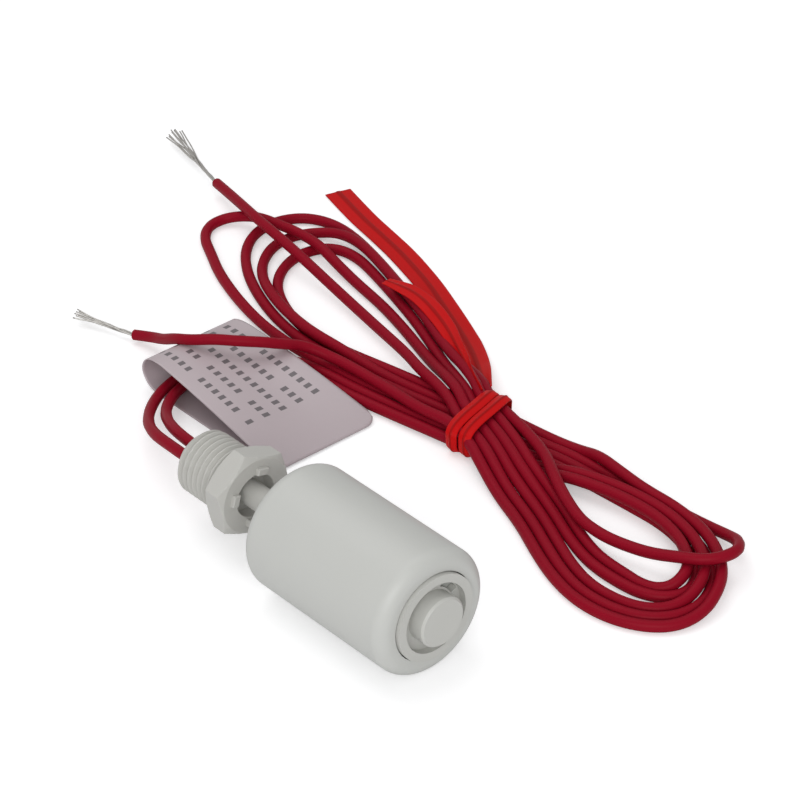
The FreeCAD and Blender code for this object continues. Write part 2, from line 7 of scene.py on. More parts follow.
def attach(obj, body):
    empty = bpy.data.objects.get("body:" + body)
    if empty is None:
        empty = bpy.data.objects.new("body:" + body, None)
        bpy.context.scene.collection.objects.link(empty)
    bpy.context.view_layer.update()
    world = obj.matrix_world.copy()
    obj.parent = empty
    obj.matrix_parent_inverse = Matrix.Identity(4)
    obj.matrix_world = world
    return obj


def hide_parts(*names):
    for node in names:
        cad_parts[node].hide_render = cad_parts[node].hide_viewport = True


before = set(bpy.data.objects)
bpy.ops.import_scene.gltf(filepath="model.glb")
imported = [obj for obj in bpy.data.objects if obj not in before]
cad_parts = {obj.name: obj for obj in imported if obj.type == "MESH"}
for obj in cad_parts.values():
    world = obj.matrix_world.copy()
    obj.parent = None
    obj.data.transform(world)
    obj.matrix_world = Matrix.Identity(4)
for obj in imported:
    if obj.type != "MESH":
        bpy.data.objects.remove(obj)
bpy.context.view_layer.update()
print("frame loaded")

mm = 0.001
scene = bpy.context.scene


# ---- materials: shared groups give colours and heights, shaders stay in each material ----

def newGroup(name, inputs, outputs):
    # an empty shader group with named float, colour and vector sockets
    group = bpy.data.node_groups.new(name, "ShaderNodeTree")
    for label, kind, value in inputs:
        socket = group.interface.new_socket(name=label, in_out="INPUT", socket_type="NodeSocket" + kind)
        if value is not None:
            socket.default_value = value
    for label, kind in outputs:
        group.interface.new_socket(name=label, in_out="OUTPUT", socket_type="NodeSocket" + kind)
    return group, group.nodes.new("NodeGroupInput"), group.nodes.new("NodeGroupOutput")


def makeMouldGroup():
    # moulded plastic: colour = base * (1 + fine mottling + slow drift), height = fine grain
    group, give, take = newGroup("mouldedGrain", [
        ("Colour", "Color", (0.5, 0.5, 0.5, 1)), ("Grain Scale", "Float", 1800.0),
        ("Drift Scale", "Float", 60.0), ("Mottle", "Float", 0.05), ("Scuff", "Float", 0.0)],
        [("Colour", "Color"), ("Height", "Float"), ("Roughness", "Float")])
    n, link = group.nodes, group.links.new
    place = n.new("ShaderNodeTexCoord")
    grain = n.new("ShaderNodeTexNoise")
    grain.inputs["Detail"].default_value = 3.0
    drift = n.new("ShaderNodeTexNoise")
    drift.inputs["Detail"].default_value = 2.0
    link(place.outputs["Object"], grain.inputs["Vector"])
    link(place.outputs["Object"], drift.inputs["Vector"])
    link(give.outputs["Grain Scale"], grain.inputs["Scale"])
    link(give.outputs["Drift Scale"], drift.inputs["Scale"])
    mix = n.new("ShaderNodeMath")
    mix.operation = "MULTIPLY_ADD"        # grain * 0.4 + drift
    mix.inputs[1].default_value = 0.4
    link(grain.outputs["Fac"], mix.inputs[0])
    link(drift.outputs["Fac"], mix.inputs[2])
    centred = n.new("ShaderNodeMath")
    centred.operation = "SUBTRACT"
    centred.inputs[1].default_value = 0.7
    link(mix.outputs[0], centred.inputs[0])
    scaled = n.new("ShaderNodeMath")
    scaled.operation = "MULTIPLY_ADD"
    scaled.inputs[2].default_value = 1.0
    link(centred.outputs[0], scaled.inputs[0])
    link(give.outputs["Mottle"], scaled.inputs[1])
    tint = n.new("ShaderNodeVectorMath")
    tint.operation = "SCALE"
    link(give.outputs["Colour"], tint.inputs[0])
    link(scaled.outputs[0], tint.inputs["Scale"])
    link(tint.outputs[0], take.inputs["Colour"])
    link(grain.outputs["Fac"], take.inputs["Height"])
    rough = n.new("ShaderNodeMath")
    rough.operation = "MULTIPLY_ADD"
    rough.inputs[1].default_value = 0.16
    rough.inputs[2].default_value = 0.36
    link(drift.outputs["Fac"], rough.inputs[0])
    link(rough.outputs[0], take.inputs["Roughness"])
    return group


mouldGroup = makeMouldGroup()


def newMaterial(name, roughness=0.45, metallic=0.0, coat=0.0, specular=0.5):
    material = bpy.data.materials.new(name)
    material.use_nodes = True
    shader = material.node_tree.nodes["Principled BSDF"]
    shader.inputs["Roughness"].default_value = roughness
    shader.inputs["Metallic"].default_value = metallic
    shader.inputs["Coat Weight"].default_value = coat
    shader.inputs["Specular IOR Level"].default_value = specular
    return material, material.node_tree.nodes, material.node_tree.links.new, shader


def linear(r, g, b):
    # screen value 0..255 to linear light: ((v + 0.055) / 1.055) ^ 2.4
    def one(v):
        v /= 255.0
        return v / 12.92 if v <= 0.04045 else ((v + 0.055) / 1.055) ** 2.4
    return (one(r), one(g), one(b), 1.0)


def mouldedMaterial(name, colour, mottle=0.05, grainScale=1800.0, bump=0.12, coat=0.0, specular=0.5):
    material, n, link, shader = newMaterial(name, coat=coat, specular=specular)
    grain = n.new("ShaderNodeGroup")
    grain.node_tree = mouldGroup
    grain.inputs["Colour"].default_value = colour
    grain.inputs["Mottle"].default_value = mottle
    grain.inputs["Grain Scale"].default_value = grainScale
    relief = n.new("ShaderNodeBump")
    relief.inputs["Strength"].default_value = bump
    relief.inputs["Distance"].default_value = 0.00005
    link(grain.outputs["Colour"], shader.inputs["Base Color"])
    link(grain.outputs["Roughness"], shader.inputs["Roughness"])
    link(grain.outputs["Height"], relief.inputs["Height"])
    link(relief.outputs["Normal"], shader.inputs["Normal"])
    return material


floatPlastic = mouldedMaterial("floatPlastic", linear(196, 197, 193), 0.05, 1400.0, 0.10)
stemPlastic = mouldedMaterial("stemPlastic", linear(190, 189, 184), 0.06, 1700.0, 0.12)
capPlastic = mouldedMaterial("capPlastic", linear(192, 192, 187), 0.05, 1700.0, 0.12)
magnetFerrite = mouldedMaterial("magnetFerrite", (0.03, 0.03, 0.032, 1), 0.12, 2500.0, 0.3)
sleevePlastic = mouldedMaterial("sleevePlastic", (0.75, 0.74, 0.70, 1), 0.05)
pottingResin = mouldedMaterial("pottingResin", (0.035, 0.035, 0.04, 1), 0.2, 600.0, 0.05, coat=0.5)
leadPlastic = mouldedMaterial("leadPlastic", linear(142, 12, 34), 0.10, 2600.0, 0.10, specular=0.07)
tiePlastic = mouldedMaterial("tiePlastic", linear(198, 10, 13), 0.08, 2000.0, 0.15, specular=0.10)


def darkenMiddleShadeEdges():
    # along the strip's middle, over the wire core's bead, the colour is darker, and at its edges painted shade
    # darkens it a little
    n, link = tiePlastic.node_tree.nodes, tiePlastic.node_tree.links.new
    shader = n["Principled BSDF"]
    place = n.new("ShaderNodeAttribute")
    place.attribute_name = "lengthwise"
    size = n.new("ShaderNodeMath")
    size.operation = "ABSOLUTE"
    ramp = n.new("ShaderNodeValToRGB")
    stops = ramp.color_ramp.elements
    stops[0].position, stops[0].color = 0.0, (0.62, 0.62, 0.62, 1)
    stops[1].position, stops[1].color = 0.26, (1, 1, 1, 1)
    # the stops darken the middle over the core's bead, keep the flat at full colour, and paint shade on the
    # edges (1.0)
    for spot, value in ((0.13, 0.62), (0.93, 1.0), (1.0, 0.7)):
        stop = stops.new(spot)
        stop.color = (value, value, value, 1)
    mix = n.new("ShaderNodeMix")
    mix.data_type = "RGBA"
    mix.blend_type = "MULTIPLY"
    mix.inputs["Factor"].default_value = 1.0
    source = shader.inputs["Base Color"].links[0].from_socket
    link(place.outputs["Fac"], size.inputs[0])
    link(size.outputs[0], ramp.inputs["Fac"])
    link(source, mix.inputs["A"])
    link(ramp.outputs["Color"], mix.inputs["B"])
    link(mix.outputs["Result"], shader.inputs["Base Color"])


darkenMiddleShadeEdges()


def metalMaterial(name, colour, roughness):
    # drawn metal: roughness and colour drift slowly, with fine lengthwise marks
    material, n, link, shader = newMaterial(name, roughness, 1.0)
    grain = n.new("ShaderNodeGroup")
    grain.node_tree = mouldGroup
    grain.inputs["Colour"].default_value = colour
    grain.inputs["Mottle"].default_value = 0.18
    grain.inputs["Grain Scale"].default_value = 3200.0
    relief = n.new("ShaderNodeBump")
    relief.inputs["Strength"].default_value = 0.15
    relief.inputs["Distance"].default_value = 0.00003
    link(grain.outputs["Colour"], shader.inputs["Base Color"])
    link(grain.outputs["Height"], relief.inputs["Height"])
    link(relief.outputs["Normal"], shader.inputs["Normal"])
    return material


tinnedCopper = metalMaterial("tinnedCopper", (0.62, 0.60, 0.57, 1), 0.32)
reedAlloy = metalMaterial("reedAlloy", (0.52, 0.50, 0.46, 1), 0.28)


def glassMaterial():
    material, n, link, shader = newMaterial("capsuleGlass", 0.04)
    shader.inputs["Base Color"].default_value = (0.82, 0.92, 0.86, 1)
    shader.inputs["Transmission Weight"].default_value = 0.9
    shader.inputs["IOR"].default_value = 1.5
    return material


capsuleGlass = glassMaterial()
print("materials made")

nodeMaterials = {
    "stem_body": stemPlastic, "stop_cap": capPlastic, "float_shell": floatPlastic,
    "float_end_cap": floatPlastic, "ring_magnet": magnetFerrite, "reed_glass": capsuleGlass,
    "reed_blade_near": reedAlloy, "reed_blade_far": reedAlloy, "splice_near": tinnedCopper,
    "splice_far": tinnedCopper, "splice_return": tinnedCopper, "return_wire": tinnedCopper,
    "return_sleeve": sleevePlastic, "lead_a_root": leadPlastic, "lead_b_root": leadPlastic,
    "potting": pottingResin,
}
for name, material in nodeMaterials.items():
    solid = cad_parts[name]
    solid.data.materials.clear()
    solid.data.materials.append(material)


# ---- the two leads: one open spline each, through the hank's turns ----

hank = {
    "wire": 2.3,                     # mm across
    "low": 1.17, "high": 3.44,       # centres of wires in the first and the second layer
    "tieFoot": (-16.6, 50.6),        # the tie's line across the waist: nearest lane and step to the next
    "tieStep": (-0.6, 2.52),
    "tieLow": 1.72, "tieHigh": 4.05,
    "sway": (0, -0.05, -0.08, 0.03, 0),
    "leftLane": (46.0, 2.47),        # y of lane 0 left of the tie, and the step to the next lane
    "rightLane": (55.4, 2.32),       # the same right of the tie
    "lobe": (60.1, 1.2),             # y at which right lobe 0 starts, and the step to the next
    "crossingLobe": 66.3,            # the same for lobe 5, which lies across the others
}
exitA = (-33.2, 1.7, 12.7)
exitB = (-33.2, -1.7, 12.7)

# outermost and innermost turn, station by station, from the upper side round to the lower
rightOuter = [(20, 64.9), (28.5, 65.2), (36.5, 63.8), (42, 61.4), (47.2, 57.8), (50.8, 53.0), (52.8, 47.2),
              (51.8, 41.0), (47.5, 36.2), (41, 33.4), (33.5, 32.9), (26, 34.6), (18.5, 37.6), (10, 41.6)]
rightInner = [(20, 60.1), (27.5, 60.4), (34, 59.0), (38.8, 56.6), (42.2, 53.8), (43.8, 51.0), (43.4, 48.2),
              (41.2, 46.1), (38.0, 45.1), (34.6, 45.2), (30.5, 45.2), (26, 45.7), (20, 47.7), (11.5, 51.5)]
rightRise = (1, 1, 1, 1, 1, 0.9, 0.3, 0, 0, 0, 0, 0, 0, 0)
rightSway = (0, 0, 0, 0, 0, 0, 0, 0.5, 1, 1, 1, 0.5, 0, 0)
leftOuter = [(-46, 73.0), (-56, 77.2), (-67, 80.6), (-78, 84.2), (-88, 87.0), (-97, 87.8), (-103.6, 85.2),
             (-106.8, 79.5), (-106.2, 72.5), (-101.5, 65.8), (-94, 60.4), (-85, 56.3), (-75.5, 53.4),
             (-66, 52.2), (-56, 52.5), (-46, 53.4)]
leftInner = [(-46, 70.4), (-56, 74.4), (-66, 77.6), (-75.5, 80.4), (-83, 82.2), (-88.2, 81.8), (-91.4, 79.4),
             (-92.6, 75.4), (-92.2, 71.0), (-90, 66.2), (-86.2, 62.0), (-80.6, 58.6), (-73.6, 56.2),
             (-65.4, 54.9), (-56, 56.3), (-46, 58.35)]
leftRise = (1, 1, 1, 1, 0.9, 0.5, 0, 0, 0, 0, 0.3, 0.8, 1, 1, 0.8, 0)


def turnBetween(outer, inner, share, sway, swayAt, riseAt):
    # outer + (share + sway * swayAt) * (inner - outer), at height low + rise * (high - low)
    turn = []
    for (a, b), (c, d), s, rise in zip(outer, inner, swayAt, riseAt):
        part = share + sway * s
        turn.append((a + part * (c - a), b + part * (d - b),
                     hank["low"] + rise * (hank["high"] - hank["low"])))
    return turn


rightTurns = [turnBetween(rightOuter, rightInner, n / 4, hank["sway"][n], rightSway,
                          [r * (1 - n % 2) for r in rightRise]) for n in range(5)]
leftTurns = [turnBetween(leftOuter, leftInner, n / 2, 0, leftRise, [r * (n % 2) for r in leftRise])
             for n in range(3)]
# the two turns that lie across the others
rightCrossing = [(20, 66.3, 1.17), (27.5, 66.9, 1.17), (34, 67.4, 1.3), (39.5, 67.0, 2.4), (44.4, 65.2, 4.4),
                 (47.8, 60.8, 5.9), (46.2, 55.2, 5.9), (41.2, 52.2, 5.4), (35.5, 50.4, 4.0), (29.3, 48.9, 3.6),
                 (24.5, 48.2, 3.6), (18.6, 48.6, 3.7), (11.5, 51.1, 4.6), (5, 54.4, 5.3)]
leftCrossing = [(-46, 67.6, 1.17), (-56, 70.9, 1.17), (-66, 73.6, 1.17), (-76, 75.3, 1.2), (-84, 76.4, 2.2),
                (-90, 77.0, 3.6), (-96.4, 76.9, 3.7), (-102, 75.9, 3.7), (-107, 75.1, 3.5), (-111.4, 74.0, 2.5),
                (-114.8, 71.2, 1.5), (-115.0, 66.8, 1.17), (-111.6, 62.8, 1.17), (-105.8, 60.0, 1.17),
                (-98, 56.0, 1.17), (-87, 52.3, 1.17), (-76, 49.9, 1.17), (-65, 49.3, 1.17), (-55, 50.0, 1.17),
                (-46, 50.94, 1.17)]


def tiePoint(lane):
    # where lane 0 (nearest) to 5 (farthest) crosses the tie's line
    return (hank["tieFoot"][0] + hank["tieStep"][0] * lane, hank["tieFoot"][1] + hank["tieStep"][1] * lane)


def lowerPass(lane, lobe):
    # under the others through the tie, from a left lower lane to a right upper lane; even lobes
    # then climb onto the odd ones
    x, y = tiePoint(lane)
    left = hank["leftLane"][0] + hank["leftLane"][1] * lane
    right = hank["rightLane"][0] + hank["rightLane"][1] * lane
    end = hank["crossingLobe"] if lobe == 5 else hank["lobe"][0] + hank["lobe"][1] * lobe
    route = [(-34, left + 0.42 * (y - left), 1.3), (x - 4, y - 0.6, hank["tieLow"]),
             (x + 4, y + 0.8, hank["tieLow"]), (-6, y + 0.6 * (right - y), 1.3), (0, right, hank["low"])]
    if lobe % 2:
        return route + [(10, (right + end) / 2, hank["low"])]
    return route + [(6, right + 0.25 * (end - right), 3.3), (13, right + 0.7 * (end - right), 3.5)]


def upperPass(lane):
    # over the others through the tie, from a right lower lane to a left upper lane
    x, y = tiePoint(5 - lane)
    right = (57.6, 54.2, 52.0, 49.8, 47.4, 45.0)[lane]
    heights = (4.7, 3.7, 3.3, 2.3, 1.5, 1.2)[lane], (4.5, 4.1, 4.1, 3.9, 3.9, 3.3)[lane]
    route = [(0, right, heights[0]), (-8, right + 0.5 * (y - right), heights[1]),
             (x + 3.5, y - 0.7, hank["tieHigh"]), (x - 3.5, y + 0.9, hank["tieHigh"] + 0.8 * (lane % 2))]
    if lane < 5:
        end = (73.0, 71.7, 70.4, 67.6, 62.6)[lane]
        slope = (end - y) / (-46 - x)
        route.append((-27, y - 0.44 * (-27 - x), (4.0, 5.2, 4.0, 5.1, 4.0)[lane]))
        route.append((-33, y + (0.5 * slope - 0.22) * (-33 - x), (2.9, 5.0, 3.1, 4.1, 4.0)[lane]))
        route.append((-39.5, y + slope * (-39.5 - x), (1.7, 4.1, 1.7, 2.4, 3.8)[lane]))
    return route


startA = [exitA, (-40, 1.7, 12.7), (-51.5, 5.6, 9.4), (-61.5, 12.8, 4.8), (-68.4, 21.5, 2.1), (-70.1, 31, 1.5),
          (-65.3, 39.6, 1.5), (-57.5, 44.2, 1.4), (-51, 45.6, 1.25), (-46, 46.0, 1.17)]
startB = [exitB, (-40, -1.7, 12.7), (-52, 1.4, 9.4), (-63, 9.8, 4.8), (-70.9, 20.2, 2.1), (-73.1, 31.5, 1.5),
          (-68.6, 41.2, 1.5), (-61, 46.3, 1.35), (-53, 47.9, 1.2), (-46, 48.47, 1.17)]
tailA = [(-46, 62.9, 3.2), (-59.9, 66.1, 2.4), (-74.3, 68.6, 2.8), (-87, 69.8, 4.6), (-95.6, 70.3, 5.9),
         (-102.6, 71.2, 6.1), (-110.4, 73.4, 5.2), (-118.4, 76.0, 3.8), (-125.8, 77.9, 3.0)]
tailB = [(-28, 51.0, 3.8), (-38, 51.2, 3.6), (-48, 51.0, 3.6), (-55, 50.0, 3.9), (-59.2, 46.4, 6.0),
         (-59.8, 41.6, 8.1), (-61.4, 37.6, 9.5), (-64.2, 33.8, 10.0), (-67.8, 30.4, 10.2), (-71.6, 27.5, 9.4),
         (-76.4, 27.2, 7.6), (-81.4, 28.0, 4.6), (-86.2, 28.9, 2.5), (-90.5, 27.5, 1.6)]
routeA = (startA + lowerPass(0, 0) + rightTurns[4] + upperPass(1) + leftTurns[1] + lowerPass(4, 5)
          + rightCrossing + upperPass(0) + leftTurns[0] + lowerPass(3, 3) + rightTurns[1] + upperPass(4) + tailA)
routeB = (startB + lowerPass(1, 2) + rightTurns[2] + upperPass(3) + leftCrossing + lowerPass(2, 1)
          + rightTurns[3] + upperPass(2) + leftTurns[2] + lowerPass(5, 4) + rightTurns[0] + upperPass(5) + tailB)


def leadCurve(name, route, material):
    # a round wire along a smooth line with the route's points as its control points
    curve = bpy.data.curves.new(name, "CURVE")
    curve.dimensions = "3D"
    line = curve.splines.new("NURBS")
    line.points.add(len(route) - 1)
    line.points.foreach_set("co", [v for p in route for v in (p[0] * mm, p[1] * mm, p[2] * mm, 1.0)])
    line.order_u = 3
    line.use_endpoint_u = True
    line.resolution_u = 6
    curve.bevel_depth = hank["wire"] / 2 * mm
    curve.bevel_resolution = 3
    curve.use_fill_caps = True
    curve.materials.append(material)
    piece = bpy.data.objects.new(name, curve)
    scene.collection.objects.link(piece)
    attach(piece, "switch")
    return piece


def centreLine(piece):
    # the points of a curve's own line, in order
    bare = piece.data.copy()
    bare.bevel_depth = 0
    holder = bpy.data.objects.new("lineHolder", bare)
    mesh = bpy.data.meshes.new_from_object(holder)
    points = np.empty(len(mesh.vertices) * 3)
    mesh.vertices.foreach_get("co", points)
    bpy.data.objects.remove(holder)
    bpy.data.curves.remove(bare)
    bpy.data.meshes.remove(mesh)
    return points.reshape(-1, 3)


leadA = leadCurve("leadWireA", routeA, leadPlastic)
leadB = leadCurve("leadWireB", routeB, leadPlastic)
lineA, lineB = centreLine(leadA), centreLine(leadB)
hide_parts("lead_a", "tail_a", "lead_hank")
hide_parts("lead_b", "tail_b")


# ---- bare strands: a twisted bundle that opens towards its end ----

strandForm = {"count": 9, "wire": 0.32, "pitch": 16.0, "packed": 0.30, "sides": 7, "steps": 40}


def strandBundle(name, root, tip, spread, lift, node, seed):
    # strand k: centre line from root to tip + sideways (packed cos(a) + spread t^1.6 w) and
    # up (packed sin(a) + lift), a = 2 pi (k / count + s / pitch); a tube of radius wire / 2 round it
    rng = np.random.default_rng(seed)
    form = strandForm
    root, tip = np.array(root), np.array(tip)
    along = tip - root
    length = np.linalg.norm(along)
    along /= length
    side = np.cross((0, 0, 1), along)
    side /= np.linalg.norm(side)
    up = np.cross(along, side)
    t = np.linspace(0, 1, form["steps"])[None, :]
    k = np.arange(form["count"])[:, None]
    ring = np.where(k == 0, 0.0, np.where(k < 5, 0.5, 1.0)) * form["packed"]
    turn = 2 * np.pi * (k / 4.3 + t * length / form["pitch"])
    fan = rng.permutation(form["count"])[:, None] / (form["count"] - 1) * 2 - 1
    wave = 0.25 * np.sin(2 * np.pi * (t * rng.uniform(0.6, 1.3, k.shape) + rng.uniform(0, 1, k.shape))) * t
    open = t ** 1.7
    across = ring * np.cos(turn) * (1 - 0.7 * open) + spread * fan * open + wave
    height = ring * np.sin(turn) * (1 - 0.8 * open) + lift * open * rng.uniform(0, 1, k.shape)
    reach = 1 - 0.10 * rng.uniform(0, 1, k.shape)
    line = (root + along * (t * length * reach)[..., None] + side * across[..., None]
            + up * height[..., None])
    line[..., 2] = np.maximum(line[..., 2], form["wire"] / 2 + 0.02)
    step = np.gradient(line, axis=1)
    step /= np.linalg.norm(step, axis=2, keepdims=True)
    b = np.cross(step, (0.0, 0.0, 1.0))
    b /= np.linalg.norm(b, axis=2, keepdims=True)
    c = np.cross(b, step)
    angle = np.linspace(0, 2 * np.pi, form["sides"], endpoint=False)
    skin = (line[:, :, None] + form["wire"] / 2 * (np.cos(angle)[:, None] * b[:, :, None]
            + np.sin(angle)[:, None] * c[:, :, None]))
    piece = gridTubes(name, skin * mm, tinnedCopper, True)
    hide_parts(node)
    return piece


def gridTubes(name, skin, material, closed):
    # tubes from an array tube x station x side x 3; quads join neighbours, ends are closed by fans
    tubes, stations, sides, _ = skin.shape
    index = np.arange(tubes * stations * sides).reshape(tubes, stations, sides)
    ahead = np.roll(index, -1, axis=2)
    quads = np.stack([index[:, :-1], ahead[:, :-1], ahead[:, 1:], index[:, 1:]], axis=-1).reshape(-1, 4)
    faces = quads.tolist()
    if closed:
        faces += index[:, 0, ::-1].tolist() + index[:, -1].tolist()
    mesh = bpy.data.meshes.new(name)
    mesh.from_pydata(skin.reshape(-1, 3).tolist(), [], faces)
    mesh.validate()
    mesh.shade_smooth()
    mesh.materials.append(material)
    piece = bpy.data.objects.new(name, mesh)
    scene.collection.objects.link(piece)
    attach(piece, "switch")
    return piece


endA, endB = lineA[-1] / mm, lineB[-1] / mm
strandsA = strandBundle("strandsA", endA, (-153.0, 86.4, 1.4), 1.7, 1.2, "strands_a", 3)
strandsB = strandBundle("strandsB", endB, (-104.9, 22.9, 1.4), 1.4, 1.0, "strands_b", 5)
print("strands made")


# ---- film label folded round the leads ----

label = {"near": 18.7, "far": 45.5, "thickness": 0.18, "cornerRadius": 3.5,
         "skew": 4.2,
         "fold": [(-37.2, 0.12), (-50, 0.12), (-66, 0.12), (-74.4, 0.14), (-77.2, 4.4), (-74.0, 8.3),
                  (-64, 6.6), (-50, 3.8), (-34.6, 0.45)]}


def splinePoints(corners):
    # the points of a smooth spline with the corners as its control points, and the length run up to
    # each point: run = cumulative sum of the steps between them
    path = bpy.data.curves.new("smoothLine", "CURVE")
    path.dimensions = "3D"
    line = path.splines.new("NURBS")
    line.points.add(len(corners) - 1)
    line.points.foreach_set("co", [v for p in corners for v in (*p, 1.0)])
    line.order_u = 3
    line.use_endpoint_u = True
    line.resolution_u = 24
    holder = bpy.data.objects.new("smoothHolder", path)
    mesh = bpy.data.meshes.new_from_object(holder)
    points = np.empty(len(mesh.vertices) * 3)
    mesh.vertices.foreach_get("co", points)
    points = points.reshape(-1, 3)
    bpy.data.objects.remove(holder)
    bpy.data.curves.remove(path)
    bpy.data.meshes.remove(mesh)
    run = np.concatenate([[0], np.cumsum(np.linalg.norm(np.diff(points, axis=0), axis=1))])
    return points, run


def labelSheet():
    # the fold's outline is a smooth line through its corners; the sheet carries it from near to far,
    # the far free corners are rounded by pulling each row in as y nears the far edge, and the far
    # edge is cut askew: y falls by skew times the share of the way across and towards the fold
    points, run = splinePoints([(x, 0.0, z) for x, z in label["fold"]])
    total = run[-1]
    fine = np.linspace(0, 1, 121)
    rows = 46
    y = np.linspace(label["near"], label["far"], rows)
    r = label["cornerRadius"]
    short = np.clip(y - (label["far"] - r), 0, r)
    pull = r - np.sqrt(np.maximum(r * r - short * short, 0))
    s = pull[:, None] + (total - 2 * pull[:, None]) * fine[None, :]
    x = np.interp(s, run, points[:, 0])
    z = np.interp(s, run, points[:, 2])
    # slight lift and waviness of thin film away from the fold
    v = (y[:, None] - label["near"]) / (label["far"] - label["near"])
    upperShare = np.clip((s / total - 0.56) / 0.44, 0, 1)
    z = z + 0.35 * np.sin(np.pi * upperShare) * np.sin(2.2 * np.pi * v + 0.6) * (upperShare < 1)
    across = y[:, None] - label["skew"] * v * np.clip((-36.0 - x) / 38.0, 0, 1)
    co = np.stack([x, across, z], axis=-1) * mm
    index = np.arange(x.size).reshape(x.shape)
    quads = np.stack([index[:-1, :-1], index[1:, :-1], index[1:, 1:], index[:-1, 1:]], axis=-1).reshape(-1, 4)
    mesh = bpy.data.meshes.new("labelSheet")
    mesh.from_pydata(co.reshape(-1, 3).tolist(), [], quads.tolist())
    uv = mesh.uv_layers.new(name="flat")
    u = np.broadcast_to(s / total, x.shape).ravel()
    w = np.broadcast_to(v, x.shape).ravel()
    loops = np.empty(len(mesh.loops), dtype=np.int32)
    mesh.loops.foreach_get("vertex_index", loops)
    uv.data.foreach_set("uv", np.stack([u[loops], w[loops]], axis=-1).ravel())
    mesh.shade_smooth()
    piece = bpy.data.objects.new("labelFlag", mesh)
    scene.collection.objects.link(piece)
    thicken = piece.modifiers.new("thickness", "SOLIDIFY")
    thicken.thickness = label["thickness"] * mm
    thicken.offset = 0
    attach(piece, "switch")
    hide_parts("label_flag")
    return piece, total


labelPiece, labelLength = labelSheet()
print("label folded, length", round(labelLength, 1))


def labelMaterial():
    # pale film with plain dark dashes in rows on its outer face, near the free ends
    material, n, link, shader = newMaterial("labelFilm", 0.38, coat=0.15)
    grain = n.new("ShaderNodeGroup")
    grain.node_tree = mouldGroup
    grain.inputs["Colour"].default_value = linear(187, 174, 178)
    grain.inputs["Mottle"].default_value = 0.06
    grain.inputs["Grain Scale"].default_value = 900.0
    uvMap = n.new("ShaderNodeUVMap")
    uvMap.uv_map = "flat"
    split = n.new("ShaderNodeSeparateXYZ")
    link(uvMap.outputs["UV"], split.inputs[0])

    def band(source, low, high):
        above = n.new("ShaderNodeMath")
        above.operation = "GREATER_THAN"
        above.inputs[1].default_value = low
        below = n.new("ShaderNodeMath")
        below.operation = "LESS_THAN"
        below.inputs[1].default_value = high
        both = n.new("ShaderNodeMath")
        both.operation = "MULTIPLY"
        link(source, above.inputs[0])
        link(source, below.inputs[0])
        link(above.outputs[0], both.inputs[0])
        link(below.outputs[0], both.inputs[1])
        return both.outputs[0]

    def math2(operation, a, b):
        node = n.new("ShaderNodeMath")
        node.operation = operation
        for i, v in enumerate((a, b)):
            if isinstance(v, float):
                node.inputs[i].default_value = v
            else:
                link(v, node.inputs[i])
        return node.outputs[0]

    # rows one sixth of the width apart; a dash fills half of each cell, and some cells stay empty
    across, alongY = split.outputs["X"], split.outputs["Y"]
    rows = math2("ADD", math2("MULTIPLY", alongY, 6.0), 0.5)
    cells = math2("MULTIPLY", across, labelLength / 2.1)
    inRow = band(math2("FRACT", rows, 0.0), 0.30, 0.68)
    inCell = band(math2("FRACT", cells, 0.0), 0.16, 0.66)
    spot = n.new("ShaderNodeCombineXYZ")
    link(math2("FLOOR", cells, 0.0), spot.inputs["X"])
    link(math2("FLOOR", rows, 0.0), spot.inputs["Y"])
    chance = n.new("ShaderNodeTexWhiteNoise")
    link(spot.outputs[0], chance.inputs["Vector"])
    dashes = math2("MULTIPLY", inCell, math2("GREATER_THAN", chance.outputs["Value"], 0.12))
    zone = math2("MULTIPLY", band(across, 0.52, 0.86), band(alongY, 0.08, 0.92))
    ink = math2("MULTIPLY", math2("MULTIPLY", inRow, dashes), zone)
    mix = n.new("ShaderNodeMix")
    mix.data_type = "RGBA"
    link(math2("MULTIPLY", ink, 0.78), mix.inputs["Factor"])
    link(grain.outputs["Colour"], mix.inputs["A"])
    mix.inputs["B"].default_value = (0.05, 0.045, 0.05, 1)
    link(mix.outputs["Result"], shader.inputs["Base Color"])
    return material


labelPiece.data.materials.append(labelMaterial())


# ---- twist tie: two turns of flat coated strip round the waist, a long tail and a short spare end ----

tie = {"wrapWidth": 3.0, "turns": 2.0, "pitch": 3.1, "reach": 8.5, "low": 0.34, "high": 5.9,
       "tail": [(-108.6, 98.3, 0.3), (-97.5, 95.1, 0.3), (-88.8, 93.3, 0.3), (-80.3, 91.5, 0.3),
                (-66.9, 87.5, 0.3), (-55.7, 82.8, 0.35), (-47.0, 79.1, 0.5), (-38.8, 74.8, 1.1),
                (-30.9, 69.5, 2.4), (-24.6, 64.8, 3.9)],
       "spare": [(-68.0, 76.6, 4.8), (-63.2, 77.6, 5.0), (-58.3, 77.4, 5.2), (-51.8, 75.7, 5.4),
                 (-44.0, 72.6, 5.6), (-35.8, 68.5, 5.8), (-28.8, 65.0, 6.0), (-23.0, 62.2, 6.1)]}


